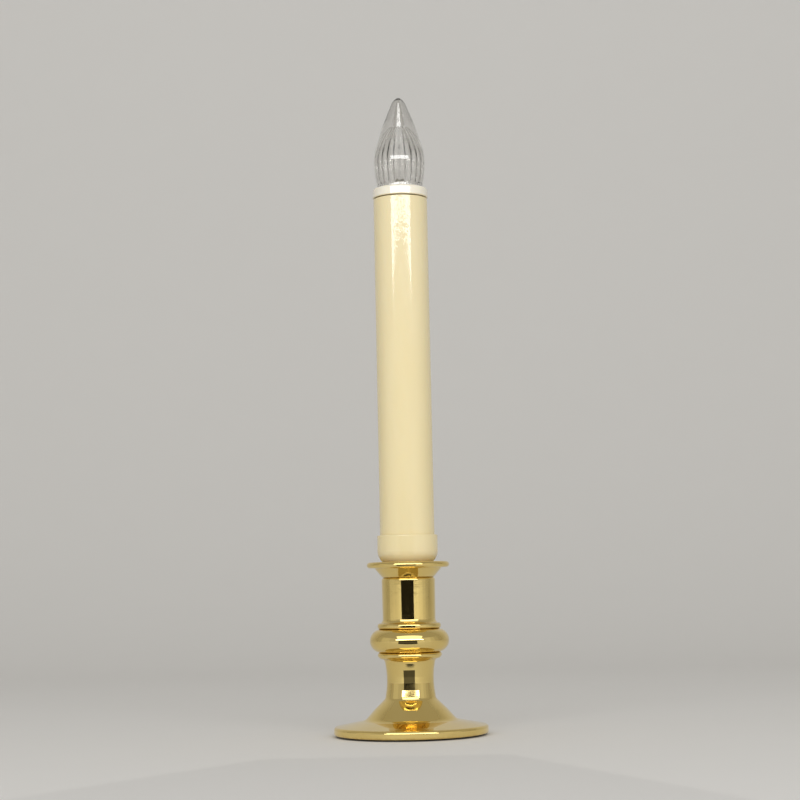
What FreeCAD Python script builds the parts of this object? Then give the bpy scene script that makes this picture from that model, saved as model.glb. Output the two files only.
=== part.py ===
import FreeCAD, Part
import math
import os

import Sketcher

# A battery candle for a window sill: an ivory sleeve with a clear flame-shaped lens
# stands in a plated candlestick.  The candlestick is a stack of spun and turned
# pieces clamped on one tie rod.  The same rod holds the ivory socket and the battery
# carrier.  The sleeve lifts off the carrier for a change of cells, and the collar
# under the lens turns a quarter turn to switch the lamp.
#
# Millimetres, +Z up, origin at the middle of the face that rests on the sill.

doc = FreeCAD.newDocument("window_candle")
sheet = doc.addObject("Spreadsheet::Sheet", "Dimensions")


# ---------------------------------------------------------------- driving dimensions

class Size:
    """A length that carries its value and the spreadsheet expression behind it."""

    def __init__(self, value, text):
        self.value = float(value)
        self.text = text

    @staticmethod
    def of(other):
        return other if isinstance(other, Size) else Size(other, repr(float(other)))

    def __add__(self, other):
        other = Size.of(other)
        return Size(self.value + other.value, f"({self.text} + {other.text})")

    def __sub__(self, other):
        other = Size.of(other)
        return Size(self.value - other.value, f"({self.text} - {other.text})")

    def __mul__(self, other):
        other = Size.of(other)
        return Size(self.value * other.value, f"{self.text} * {other.text}")

    def __truediv__(self, other):
        other = Size.of(other)
        return Size(self.value / other.value, f"{self.text} / {other.text}")

    def __neg__(self):
        return Size(-self.value, f"(0 - {self.text})")


ROWS = []


def dimension(name, value):
    """One driving dimension: a named cell of the sheet, and the Size bound to it."""
    row = len(ROWS) + 1
    ROWS.append(name)
    sheet.set(f"A{row}", name)
    sheet.set(f"B{row}", str(value))
    sheet.setAlias(f"B{row}", name)
    return Size(value, f"Dimensions.{name}")


ZERO = Size(0.0, "0.0")

# general
gap = dimension("gap", 0.3)
sheet_wall = dimension("sheet_wall", 1.0)
tie_bore = dimension("tie_bore", 2.7)

# candlestick levels, from the sill up
pad_height = dimension("pad_height", 2.2)
rim_level = dimension("rim_level", 0.5)
stem_top = dimension("stem_top", 30.2)
knop_level = dimension("knop_level", 32.7)
knop_height = dimension("knop_height", 9.5)
column_level = dimension("column_level", 44.4)
pan_level = dimension("pan_level", 62.6)

# candlestick radii and heights
foot_radius = dimension("foot_radius", 30.85)
rim_height = dimension("rim_height", 3.4)
pad_radius = dimension("pad_radius", 27.4)
flare_height = dimension("flare_height", 5.3)
stem_radius = dimension("stem_radius", 10.0)
lower_ring_radius = dimension("lower_ring_radius", 12.9)
knop_radius = dimension("knop_radius", 15.9)
upper_ring_radius = dimension("upper_ring_radius", 12.7)
column_radius = dimension("column_radius", 10.65)
pan_foot_radius = dimension("pan_foot_radius", 10.3)
pan_radius = dimension("pan_radius", 16.6)
pan_depth = dimension("pan_depth", 1.5)
lip_bead = dimension("lip_bead", 1.2)

# tie rod and its fasteners
rod_radius = dimension("rod_radius", 2.5)
rod_bottom = dimension("rod_bottom", 3.4)
rod_top = dimension("rod_top", 73.6)
nut_flats = dimension("nut_flats", 8.0)
nut_height = dimension("nut_height", 4.0)
washer_radius = dimension("washer_radius", 5.0)
washer_height = dimension("washer_height", 1.0)
weight_shelf = dimension("weight_shelf", 9.4)

# ivory socket
socket_radius = dimension("socket_radius", 12.18)
socket_foot_radius = dimension("socket_foot_radius", 10.1)
socket_top = dimension("socket_top", 79.5)
socket_floor = dimension("socket_floor", 1.6)
socket_fit = dimension("socket_fit", 0.08)

# cells and battery carrier
cell_radius = dimension("cell_radius", 7.1)
cell_length = dimension("cell_length", 50.5)
nub_radius = dimension("nub_radius", 2.6)
nub_height = dimension("nub_height", 1.3)
carrier_radius = dimension("carrier_radius", 9.3)
carrier_foot_radius = dimension("carrier_foot_radius", 8.4)
carrier_plate = dimension("carrier_plate", 1.6)
bay_radius = dimension("bay_radius", 7.3)
bay_level = dimension("bay_level", 78.4)
bay_lip = dimension("bay_lip", 1.5)
plate_thick = dimension("plate_thick", 0.4)
spring_height = dimension("spring_height", 5.2)
strip_width = dimension("strip_width", 3.2)
strip_face = dimension("strip_face", 9.1)
roof_thick = dimension("roof_thick", 2.5)
stud_head = dimension("stud_head", 1.0)

# candle sleeve
sleeve_radius = dimension("sleeve_radius", 11.0)
sleeve_wall = dimension("sleeve_wall", 1.2)
sleeve_bottom = dimension("sleeve_bottom", 73.7)
sleeve_top = dimension("sleeve_top", 216.6)

# switch
holder_level = dimension("holder_level", 196.0)
holder_floor = dimension("holder_floor", 2.8)
holder_height = dimension("holder_height", 17.0)
skirt_radius = dimension("skirt_radius", 8.82)
skirt_wall = dimension("skirt_wall", 1.22)
skirt_level = dimension("skirt_level", 199.8)
turning_fit = dimension("turning_fit", 0.08)
switch_gap = dimension("switch_gap", 1.0)
lug_level = dimension("lug_level", 203.2)
bar_height = dimension("bar_height", 1.2)
bar_half = dimension("bar_half", 6.8)
groove_low = dimension("groove_low", 7.2)
groove_high = dimension("groove_high", 8.2)
groove_floor = dimension("groove_floor", 8.2)
snap_radius = dimension("snap_radius", 9.2)
ramp_fall = dimension("ramp_fall", 0.8)
ramp_inner = dimension("ramp_inner", 4.7)
ramp_outer = dimension("ramp_outer", 7.2)

# lamp and lens
collar_radius = dimension("collar_radius", 11.3)
collar_level = dimension("collar_level", 217.0)
collar_height = dimension("collar_height", 4.0)
board_level = dimension("board_level", 212.0)
board_radius = dimension("board_radius", 7.4)
board_thick = dimension("board_thick", 1.2)
contact_thick = dimension("contact_thick", 0.8)
lamp_level = dimension("lamp_level", 216.4)
lens_level = dimension("lens_level", 219.4)
lens_foot_radius = dimension("lens_foot_radius", 9.3)
lens_radius = dimension("lens_radius", 10.45)
lens_height = dimension("lens_height", 39.7)
lens_wall = dimension("lens_wall", 2.0)

doc.recompute()

# levels that follow from the driving dimensions
socket_level = pan_level + pan_depth
carrier_level = socket_level + socket_floor
lower_cell_level = bay_level + plate_thick * 2 + spring_height
upper_cell_level = lower_cell_level + cell_length
positive_level = upper_cell_level + cell_length
roof_level = positive_level + plate_thick
carrier_top = roof_level + roof_thick
stud_top = carrier_top + stud_head
spring_seat = lug_level + bar_height
board_face = board_level + board_thick
board_underside = board_level - contact_thick


# ---------------------------------------------------------------- drawing helpers

class Bend:
    """The edge that leaves a corner is an arc of this radius; left or right bulge."""

    def __init__(self, radius, side):
        self.radius = Size.of(radius)
        self.side = side


class Round:
    """A circular outline."""

    def __init__(self, x, y, radius):
        self.x = Size.of(x)
        self.y = Size.of(y)
        self.radius = Size.of(radius)


def origin_plane(body, role):
    return next(face for face in body.Origin.OriginFeatures if face.Role == role)


def arc_edge(start, end, bend):
    """The arc from start to end; a side of +1 bulges to the right of travel."""
    chord = end - start
    half = chord.Length / 2
    rise = math.sqrt(max(bend.radius.value ** 2 - half ** 2, 0.0))
    right = FreeCAD.Vector(chord.y, -chord.x, 0).normalize() * bend.side
    middle = (start + end) / 2
    crown = middle + right * (bend.radius.value - rise)
    return Part.Arc(start, crown, end)


def pin(sketch, edge, point, x, y):
    """Hold one corner of a sketch at x, y, both bound to the sheet."""
    for kind, other_axis, size in (("DistanceX", -2, x), ("DistanceY", -1, y)):
        if abs(size.value) < 1e-9:
            sketch.addConstraint(Sketcher.Constraint("PointOnObject", edge, point, other_axis))
            continue
        index = sketch.addConstraint(Sketcher.Constraint(kind, -1, 1, edge, point, size.value))
        sketch.setExpression(f"Constraints[{index}]", size.text)


def hold_arc(sketch, edge, start, end):
    """Fix an arc whose ends are held: by its radius, or by its centre if it's half round."""
    step_x = Size.of(end[0]).value - Size.of(start[0]).value
    step_y = Size.of(end[1]).value - Size.of(start[1]).value
    radius = start[2].radius
    if math.hypot(step_x, step_y) / 2 < radius.value - 1e-6:
        index = sketch.addConstraint(Sketcher.Constraint("Radius", edge, radius.value))
        sketch.setExpression(f"Constraints[{index}]", radius.text)
        return
    kind, which = ("DistanceX", 0) if abs(step_x) < abs(step_y) else ("DistanceY", 1)
    middle = (Size.of(start[which]) + end[which]) / 2
    index = sketch.addConstraint(Sketcher.Constraint(kind, -1, 1, edge, 3, middle.value))
    sketch.setExpression(f"Constraints[{index}]", middle.text)


def outline(body, name, role, corners, lift=ZERO):
    """A closed outline on one of the body's own planes, lifted off it along its normal.

    corners is a Round, or holds (x, y) or (x, y, Bend) in order round the outline.
    """
    sketch = body.newObject("Sketcher::SketchObject", name)
    sketch.AttachmentSupport = [(origin_plane(body, role), "")]
    sketch.MapMode = "FlatFace"
    sketch.setExpression("AttachmentOffset.Base.z", lift.text)
    if isinstance(corners, Round):
        middle = FreeCAD.Vector(corners.x.value, corners.y.value, 0)
        up = FreeCAD.Vector(0, 0, 1)
        edge = sketch.addGeometry(Part.Circle(middle, up, corners.radius.value))
        pin(sketch, edge, 3, corners.x, corners.y)
        index = sketch.addConstraint(Sketcher.Constraint("Radius", edge, corners.radius.value))
        sketch.setExpression(f"Constraints[{index}]", corners.radius.text)
        return sketch
    places = [FreeCAD.Vector(Size.of(c[0]).value, Size.of(c[1]).value, 0) for c in corners]
    first = sketch.GeometryCount
    for index, corner in enumerate(corners):
        start = places[index]
        end = places[(index + 1) % len(corners)]
        bent = len(corner) > 2
        sketch.addGeometry(arc_edge(start, end, corner[2]) if bent else Part.LineSegment(start, end))
    # a clockwise arc is stored the other way round, so its ends are looked up by place
    ends = []
    for index in range(len(corners)):
        edge = first + index
        forward = sketch.getPoint(edge, 1).distanceToPoint(places[index]) < 1e-6
        ends.append((edge, 1, 2) if forward else (edge, 2, 1))
    for index, (edge, head, tail) in enumerate(ends):
        following = ends[(index + 1) % len(ends)]
        sketch.addConstraint(Sketcher.Constraint("Coincident", edge, tail, following[0], following[1]))
    for index, ((edge, head, tail), corner) in enumerate(zip(ends, corners)):
        pin(sketch, edge, head, Size.of(corner[0]), Size.of(corner[1]))
        if len(corner) > 2:
            hold_arc(sketch, edge, corner, corners[(index + 1) % len(corners)])
    return sketch


def dome_radius(reach, rise):
    """Radius of a dome centred on the axis that rises this much over this reach."""
    return (reach * reach + rise * rise) / (2.0 * rise)


PIECES = []


def new_body(name, level=ZERO):
    """An empty body whose frame sits at the given level on the candle's axis."""
    body = doc.addObject("PartDesign::Body", name)
    body.Label = name
    body.setExpression("Placement.Base.z", level.text)
    PIECES.append(body)
    return body


def revolve(body, name, corners, kind="PartDesign::Revolution"):
    """Turn a profile of (radius, height) corners about the body's own Z axis."""
    sketch = outline(body, name + "_profile", "XZ_Plane", corners)
    feature = body.newObject(kind, name)
    feature.Profile = sketch
    feature.ReferenceAxis = (sketch, ["V_Axis"])
    feature.Angle = 360
    doc.recompute()
    return feature


def turned(name, corners, level=ZERO):
    """A piece that is one full revolution of its profile."""
    body = new_body(name, level)
    revolve(body, name + "_turn", corners)
    return body


def extrude(body, name, role, corners, length, kind="PartDesign::Pad", lift=ZERO):
    """Pad an outline, or pocket it, upwards; a pocket has to take material away."""
    before = body.Shape.Volume if body.Tip else 0.0
    sketch = outline(body, name + "_outline", role, corners, lift)
    feature = body.newObject(kind, name)
    feature.Profile = sketch
    feature.setExpression("Length", Size.of(length).text)
    feature.Reversed = kind == "PartDesign::Pocket"
    doc.recompute()
    grown = body.Shape.Volume - before
    if (grown >= 0) == (kind == "PartDesign::Pocket"):
        raise RuntimeError(f"{name} changed the volume by {grown:.3f}")
    return feature


def rectangle(x_low, x_high, y_low, y_high):
    return [(x_low, y_low), (x_high, y_low), (x_high, y_high), (x_low, y_high)]


def ring(inner, outer, bottom, top):
    """The four corners of a plain washer's profile."""
    return [(inner, bottom), (outer, bottom), (outer, top), (inner, top)]


# ---------------------------------------------------------------- candlestick

def base_pad():
    """Soft foam disc under the foot; it stands a little proud of the rim."""
    edge = 0.5
    turned("base_pad", [
        (ZERO, ZERO),
        (pad_radius - edge, ZERO, Bend(edge, +1)),
        (pad_radius, Size.of(edge)),
        (pad_radius, pad_height),
        (ZERO, pad_height),
    ])


# where the foot's inner cone starts and ends, above the sill
cone_low = (Size.of(16.9), rim_level + 5.68)
cone_high = (Size.of(8.3), rim_level + 14.55)


def base_weight():
    """Cast slug that fills the foot and keeps the candle upright."""
    pocket_radius = 6.6
    turned("base_weight", [
        (pocket_radius, ZERO),
        (pad_radius, ZERO),
        (pad_radius, Size.of(0.85)),
        (19.4, Size.of(2.25)),
        (cone_low[0], cone_low[1] - pad_height),
        (cone_high[0], cone_high[1] - pad_height),
        (tie_bore, cone_high[1] - pad_height),
        (tie_bore, weight_shelf - pad_height),
        (pocket_radius, weight_shelf - pad_height),
    ], pad_height)


def foot_shell():
    """Spun foot: a rolled rim, a shallow slope, a domed flare and a waisted stem."""
    top = stem_top - rim_level
    roll = 0.8
    shoulder = 1.2
    turned("foot_shell", [
        (foot_radius - sheet_wall, ZERO),
        (foot_radius - roll, ZERO, Bend(roll, +1)),
        (foot_radius, Size.of(roll)),
        (foot_radius, rim_height - shoulder, Bend(shoulder, +1)),
        (foot_radius - shoulder, rim_height),
        (19.9, flare_height, Bend(4.0, -1)),
        (17.55, flare_height + 1.15, Bend(65.0, +1)),
        (stem_radius + 0.72, flare_height + 8.2, Bend(2.2, -1)),
        (stem_radius, flare_height + 9.83, Bend(35.0, -1)),
        (stem_radius - 0.05, top - 1.7, Bend(2.5, -1)),
        (stem_radius + 0.9, top),
        (tie_bore, top),
        (tie_bore, top - sheet_wall),
        (cone_high[0], top - sheet_wall),
        (cone_high[0], cone_high[1] - rim_level),
        (cone_low[0], cone_low[1] - rim_level),
        (19.6, flare_height - 1.02),
        (foot_radius - sheet_wall, rim_height - sheet_wall),
    ], rim_level)


def lower_step_ring():
    """Turned ring under the knop, undercut towards the stem."""
    height = knop_level - stem_top
    turned("lower_step_ring", [
        (tie_bore, ZERO),
        (lower_ring_radius - 1.7, ZERO, Bend(2.0, +1)),
        (lower_ring_radius, Size.of(1.5), Bend(1.0, +1)),
        (lower_ring_radius - 0.7, height),
        (tie_bore, height),
    ], stem_top)


def knop():
    """Hollow flattened ball: a spun half-round hoop, open towards the rod."""
    half = knop_height / 2
    crown = knop_radius - half
    mouth = 7.0
    turned("knop", [
        (mouth, ZERO),
        (crown, ZERO, Bend(half, +1)),
        (crown, knop_height),
        (mouth, knop_height),
        (mouth, knop_height - sheet_wall),
        (crown, knop_height - sheet_wall, Bend(half - sheet_wall, -1)),
        (crown, sheet_wall),
        (mouth, sheet_wall),
    ], knop_level)


def upper_step_ring():
    """Turned ring between the knop and the column."""
    level = knop_level + knop_height
    height = column_level - level
    turned("upper_step_ring", [
        (tie_bore, ZERO),
        (upper_ring_radius - 0.6, ZERO, Bend(0.9, +1)),
        (upper_ring_radius, Size.of(0.8)),
        (upper_ring_radius, Size.of(1.3), Bend(0.9, +1)),
        (upper_ring_radius - 0.8, height),
        (tie_bore, height),
    ], level)


def column_sleeve():
    """Drawn cup, mouth down, that makes the column between knop and pan."""
    height = pan_level - column_level
    inner = column_radius - sheet_wall
    turned("column_sleeve", [
        (inner, ZERO),
        (column_radius + 1.0, ZERO, Bend(1.8, -1)),
        (column_radius - 0.08, Size.of(1.5)),
        (column_radius + 0.08, height - 1.1, Bend(1.1, +1)),
        (column_radius - 1.0, height),
        (tie_bore, height),
        (tie_bore, height - sheet_wall),
        (inner, height - sheet_wall),
    ], column_level)


def drip_pan():
    """Conical dish under a rolled lip; the ivory socket stands in it."""
    bead = pan_radius - lip_bead
    under_lip = pan_radius - 3.1
    slope_top = Size.of(3.7)
    lip_low = slope_top + 0.1
    turned("drip_pan", [
        (tie_bore, ZERO),
        (pan_foot_radius, ZERO),
        (under_lip, slope_top),
        (bead, lip_low, Bend(lip_bead, +1)),
        (bead, lip_low + lip_bead * 2),
        (bead - 0.8, lip_low + 1.1),
        (under_lip - 0.7, lip_low + 0.8),
        (pan_foot_radius + 0.2, pan_depth),
        (tie_bore, pan_depth),
    ], pan_level)


def tie_rod():
    """Threaded rod up the middle that clamps the whole candlestick together."""
    end = 0.4
    length = rod_top - rod_bottom
    turned("tie_rod", [
        (ZERO, ZERO),
        (rod_radius - end, ZERO),
        (rod_radius, Size.of(end)),
        (rod_radius, length - end),
        (rod_radius - end, length),
        (ZERO, length),
    ], rod_bottom)


def tie_rod_fasteners():
    """A washer and nut at each end of the rod, below the weight and above the carrier."""
    carrier_foot = carrier_level + carrier_plate
    low_washer = weight_shelf - washer_height
    low_nut = low_washer - nut_height
    high_nut = carrier_foot + washer_height
    washers = []
    nuts = []
    for place, washer_level, nut_level in (("lower", low_washer, low_nut),
                                           ("upper", carrier_foot, high_nut)):
        washer = doc.addObject("Part::Cylinder", place + "_washer_disc")
        washer.setExpression("Radius", washer_radius.text)
        washer.setExpression("Height", washer_height.text)
        hole = doc.addObject("Part::Cylinder", place + "_washer_hole")
        hole.setExpression("Radius", tie_bore.text)
        hole.setExpression("Height", washer_height.text)
        for disc in (washer, hole):
            disc.setExpression("Placement.Base.z", washer_level.text)
        washers.append(cut(place + "_washer", washer, hole))

        blank = doc.addObject("Part::Prism", place + "_nut_blank")
        blank.Polygon = 6
        blank.setExpression("Circumradius", (nut_flats / math.sqrt(3.0)).text)
        blank.setExpression("Height", nut_height.text)
        thread = doc.addObject("Part::Cylinder", place + "_nut_thread")
        thread.setExpression("Radius", rod_radius.text)
        thread.setExpression("Height", nut_height.text)
        for part in (blank, thread):
            part.setExpression("Placement.Base.z", nut_level.text)
        nuts.append(cut(place + "_nut", blank, thread))
    group("tie_rod_washers", washers)
    group("tie_rod_nuts", nuts)


def cut(name, base, tool):
    piece = doc.addObject("Part::Cut", name)
    piece.Base = base
    piece.Tool = tool
    return piece


def group(name, solids):
    """Separate equal solids that share one name."""
    both = doc.addObject("Part::Compound", name)
    both.Label = name
    both.Links = solids
    PIECES.append(both)
    return both


# ---------------------------------------------------------------- socket and cells

def candle_socket():
    """Ivory cup in the pan; the sleeve's foot slides into its mouth."""
    top = socket_top - socket_level
    ledge = sleeve_bottom - gap - socket_level
    mouth = sleeve_radius + socket_fit
    edge = 0.4
    turned("candle_socket", [
        (tie_bore, ZERO),
        (socket_foot_radius - 0.7, ZERO, Bend(0.8, +1)),
        (socket_foot_radius, Size.of(0.7)),
        (socket_foot_radius, Size.of(4.7), Bend(6.0, +1)),
        (socket_radius, Size.of(8.9)),
        (socket_radius, top - edge, Bend(edge, +1)),
        (socket_radius - edge, top),
        (mouth, top),
        (mouth, ledge),
        (9.7, ledge),
        (8.8, Size.of(4.6)),
        (8.7, socket_floor),
        (tie_bore, socket_floor),
    ], socket_level)


def battery_carrier():
    """Open trough for two cells end to end, with its foot clamped in the socket."""
    bay = bay_level - carrier_level
    plate = bay - carrier_plate
    roof = roof_level - carrier_level
    top = carrier_top - carrier_level
    wall = 1.4
    body = new_body("battery_carrier", carrier_level)
    revolve(body, "carrier_turn", [
        (tie_bore, ZERO),
        (carrier_foot_radius, ZERO),
        (carrier_foot_radius, plate - 3.0),
        (carrier_radius, plate - 1.8),
        (carrier_radius, top - 0.6),
        (carrier_radius - 0.6, top),
        (1.55, top),
        (1.55, roof),
        (bay_radius, roof),
        (bay_radius, bay),
        (ZERO, bay),
        (ZERO, plate),
        (carrier_foot_radius - wall, plate),
        (carrier_foot_radius - wall, carrier_plate),
        (tie_bore, carrier_plate),
    ])
    reach = carrier_radius + 1.0
    extrude(body, "cell_mouth", "XY_Plane",
            rectangle(-reach, reach, -reach, -bay_lip),
            roof - bay, "PartDesign::Pocket", bay)
    extrude(body, "nut_window", "XY_Plane",
            rectangle(-5.4, 5.4, -reach, -3.0),
            plate - carrier_plate - 1.4, "PartDesign::Pocket", carrier_plate)
    half = strip_width / 2 + 0.2
    extrude(body, "strip_groove", "XY_Plane",
            rectangle(-half, half, strip_face - plate_thick, reach),
            top - plate, "PartDesign::Pocket", plate)
    extrude(body, "tab_slot", "XY_Plane",
            rectangle(-half, half, bay_radius - 1.0, reach),
            plate_thick * 2, "PartDesign::Pocket", bay)


def cell(name, level):
    """One unmarked round cell, positive nub upwards."""
    body_height = cell_length - nub_height
    crimp = 0.5
    turned(name, [
        (ZERO, ZERO),
        (cell_radius - 1.6, ZERO),
        (cell_radius - 1.2, Size.of(0.25)),
        (cell_radius - crimp, Size.of(0.25), Bend(crimp, +1)),
        (cell_radius, Size.of(0.25 + crimp)),
        (cell_radius, body_height - crimp, Bend(crimp, +1)),
        (cell_radius - crimp, body_height),
        (nub_radius + 1.2, body_height),
        (nub_radius + 0.9, body_height - 0.3),
        (nub_radius, body_height - 0.3),
        (nub_radius, cell_length - 0.3, Bend(0.3, +1)),
        (nub_radius - 0.3, cell_length),
        (ZERO, cell_length),
    ], level)


def coil(name, level, height, radius, wire, turns):
    """Compression spring: a round wire along a helix with its ends inside the height."""
    pitch = (height.value - 2 * wire) / turns
    path = Part.makeHelix(pitch, pitch * turns, radius)
    start = FreeCAD.Vector(radius, 0, 0)
    rise = FreeCAD.Vector(0, 2 * math.pi * radius, pitch)
    section = Part.Wire(Part.makeCircle(wire, start, rise))
    spring = doc.addObject("Part::Feature", name)
    spring.Label = name
    spring.Shape = Part.Wire(path).makePipeShell([section], True, True)
    spring.Placement = FreeCAD.Placement(
        FreeCAD.Vector(0, 0, level.value + wire), FreeCAD.Rotation())
    PIECES.append(spring)
    return spring


def disc(name, radius, level, height, hole=None):
    """A plain stamped disc, or a washer where it has a hole."""
    inner = hole if hole is not None else ZERO
    return turned(name, ring(inner, radius, ZERO, height), level)


def cell_contacts():
    """Everything that carries current along the carrier."""
    plate = bay_level + plate_thick
    disc("negative_plate", Size.of(6.4), plate, plate_thick)
    coil("negative_spring", plate + plate_thick, spring_height, 4.2, 0.4, 4.0)
    cell("lower_cell", lower_cell_level)
    cell("upper_cell", upper_cell_level)
    disc("positive_plate", Size.of(5.0), positive_level, plate_thick)

    shank = 1.5
    head = 2.6
    crown = 0.6
    turned("contact_stud", [
        (ZERO, ZERO),
        (shank, ZERO),
        (shank, roof_thick),
        (head, roof_thick),
        (head, roof_thick + stud_head - crown, Bend(dome_radius(head, crown), +1)),
        (ZERO, roof_thick + stud_head),
    ], roof_level)

    strip = new_body("return_strip")
    back = strip_face - plate_thick
    strip_top = carrier_top + plate_thick
    lower_tab = 2.0
    upper_tab = 5.6
    feature = extrude(strip, "return_strip_bend", "YZ_Plane", [
        (lower_tab, bay_level),
        (strip_face, bay_level),
        (strip_face, strip_top),
        (upper_tab, strip_top),
        (upper_tab, carrier_top),
        (back, carrier_top),
        (back, plate),
        (lower_tab, plate),
    ], strip_width)
    feature.Midplane = True


# ---------------------------------------------------------------- sleeve and switch

def candle_tube():
    """Long ivory sleeve that hides the cells."""
    inner = sleeve_radius - sleeve_wall
    height = sleeve_top - sleeve_bottom
    edge = 0.25
    turned("candle_tube", [
        (inner, ZERO),
        (sleeve_radius - edge, ZERO),
        (sleeve_radius, Size.of(edge)),
        (sleeve_radius, height - edge, Bend(edge, +1)),
        (sleeve_radius - edge, height),
        (inner, height),
    ], sleeve_bottom)


# the switch blade slides in a slot, so that the turning cam can't turn it
blade_half = Size.of(2.2)
blade_edge = Size.of(1.0)
finger_place = Size.of(7.1)
finger_half = Size.of(1.5)
press_fit = 0.02


def bulb_holder():
    """Cup bonded inside the sleeve's top; it guides the blade and the turning skirt."""
    outer = sleeve_radius - sleeve_wall - press_fit
    inner = skirt_radius + turning_fit
    recess = snap_radius + 0.15
    recess_low = skirt_level + groove_low - gap - holder_level
    recess_high = skirt_level + groove_high + gap - holder_level
    body = new_body("bulb_holder", holder_level)
    revolve(body, "holder_turn", [
        (ZERO, ZERO),
        (outer, ZERO),
        (outer, holder_height),
        (inner, holder_height),
        (inner, recess_high),
        (recess, recess_high),
        (recess, recess_low),
        (inner, recess_low),
        (inner, holder_floor),
        (ZERO, holder_floor),
    ])
    extrude(body, "blade_slot", "XY_Plane",
            rectangle(-(blade_half + turning_fit), blade_half + turning_fit,
                      -(blade_edge + turning_fit), blade_edge + turning_fit),
            holder_floor, "PartDesign::Pocket")
    extrude(body, "finger_slot", "XY_Plane",
            rectangle(-(finger_half + press_fit), finger_half + press_fit,
                      finger_place - press_fit, finger_place + plate_thick + press_fit),
            holder_floor, "PartDesign::Pocket")


def return_finger():
    """Spring leaf through the holder's floor, from the carrier's strip to the slip ring."""
    foot = carrier_top + plate_thick + gap
    head = holder_level + holder_floor + 0.15
    outer_face = finger_place + plate_thick
    toe = 5.9
    finger = new_body("return_finger")
    feature = extrude(finger, "return_finger_bend", "YZ_Plane", [
        (toe, foot),
        (outer_face, foot),
        (outer_face, head),
        (finger_place, head),
        (finger_place, foot + plate_thick),
        (toe, foot + plate_thick),
    ], finger_half * 2)
    feature.Midplane = True


def contact_plunger():
    """Sliding contact blade with a cross bar that rides on the cam ring's two ramps."""
    tip = stud_top + switch_gap
    body = new_body("contact_plunger")
    extrude(body, "plunger_blade", "XY_Plane",
            rectangle(-blade_half, blade_half, -blade_edge, blade_edge), lug_level - tip, lift=tip)
    extrude(body, "plunger_bar", "XY_Plane",
            rectangle(-bar_half, bar_half, -blade_edge, blade_edge), bar_height, lift=lug_level)


def feed_spring():
    """Light coil between the board and the plunger: it carries the current down."""
    coil("feed_spring", spring_seat, board_underside - spring_seat, 2.0, 0.25, 5.0)


def twist_collar():
    """Ivory ring under the lens, with the skirt that turns in the holder."""
    top = collar_level + collar_height - skirt_level
    shoulder = collar_level - skirt_level
    inner = skirt_radius - skirt_wall
    seat = lens_level - skirt_level
    seat_radius = lens_foot_radius + 0.05
    ledge = board_level - skirt_level
    ledge_reach = inner - 0.7
    ledge_foot = ledge - 1.4
    round_top = 1.0
    chamfer = 0.2
    turned("twist_collar", [
        (inner, ZERO),
        (skirt_radius, ZERO),
        (skirt_radius, groove_low),
        (groove_floor, groove_low),
        (groove_floor, groove_high),
        (skirt_radius, groove_high),
        (skirt_radius, shoulder),
        (collar_radius - chamfer, shoulder),
        (collar_radius, shoulder + chamfer),
        (collar_radius, top - round_top, Bend(round_top, +1)),
        (collar_radius - round_top, top),
        (seat_radius, top),
        (seat_radius, seat),
        (inner, seat),
        (inner, ledge),
        (ledge_reach, ledge),
        (ledge_reach, ledge_foot),
        (inner, ledge_foot),
    ], skirt_level)


def snap_ring():
    """Split wire ring: half in the skirt's groove, half in the holder's recess."""
    height = 0.8
    split_half = 1.0
    body = new_body("snap_ring", skirt_level + groove_low + 0.1)
    revolve(body, "snap_ring_turn", ring(groove_floor + 0.05, snap_radius, ZERO, Size.of(height)))
    extrude(body, "snap_ring_split", "XY_Plane",
            rectangle(-split_half, split_half, 8.0, snap_radius + 0.4),
            height, "PartDesign::Pocket")


# the cam's ramps fall as the collar turns clockwise, seen from above
cam_start = 105.0
cam_sweep = 120.0
wire_radius = 0.35
wire_place = 6.0
wire_angle = 135.0


def cam_ring():
    """Ring at the bottom of the skirt with two falling ramps under the plunger's bar."""
    outer = skirt_radius - skirt_wall - press_fit
    floor = Size.of(1.2)
    pitch = ramp_fall * 4.0
    low = lug_level - skirt_level - 0.2 - pitch * (cam_start / 360.0)
    body = new_body("cam_ring", skirt_level)
    body.Placement.Rotation = FreeCAD.Rotation(FreeCAD.Vector(0, 0, 1), cam_start)
    revolve(body, "cam_ring_turn", ring(ramp_inner, outer, ZERO, floor))
    section = outline(body, "ramp_section", "XZ_Plane",
                      ring(ramp_inner, ramp_outer, Size.of(0.05), low))
    ramp = body.newObject("PartDesign::AdditiveHelix", "ramp")
    ramp.Profile = section
    ramp.ReferenceAxis = (section, ["V_Axis"])
    ramp.Mode = "pitch-turns-angle"
    ramp.setExpression("Pitch", pitch.text)
    ramp.Turns = cam_sweep / 360.0
    ramp.Angle = 0
    ramp.LeftHanded = True
    doc.recompute()
    pair = body.newObject("PartDesign::PolarPattern", "ramp_pair")
    pair.Originals = [ramp]
    pair.Axis = (section, ["V_Axis"])
    pair.Occurrences = 2
    body.Tip = pair
    doc.recompute()
    turn = math.radians(wire_angle - cam_start)
    extrude(body, "wire_hole", "XY_Plane",
            Round(wire_place * math.cos(turn), wire_place * math.sin(turn), wire_radius + 0.1),
            floor, "PartDesign::Pocket")


def slip_ring():
    """Flat brass ring under the cam; the return finger wipes it."""
    thick = 0.5
    turned("slip_ring", ring(Size.of(5.4), skirt_radius - 0.1, ZERO, Size.of(thick)),
           skirt_level - thick)


def cylinder(name, radius, height, place, turn=None):
    """A plain round solid standing at a place, or laid over by a turn."""
    solid = doc.addObject("Part::Cylinder", name)
    solid.Label = name
    solid.setExpression("Radius", Size.of(radius).text)
    solid.setExpression("Height", Size.of(height).text)
    if turn is not None:
        solid.Placement.Rotation = turn
    for axis, size in zip("xyz", place):
        solid.setExpression(f"Placement.Base.{axis}", Size.of(size).text)
    return solid


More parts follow.
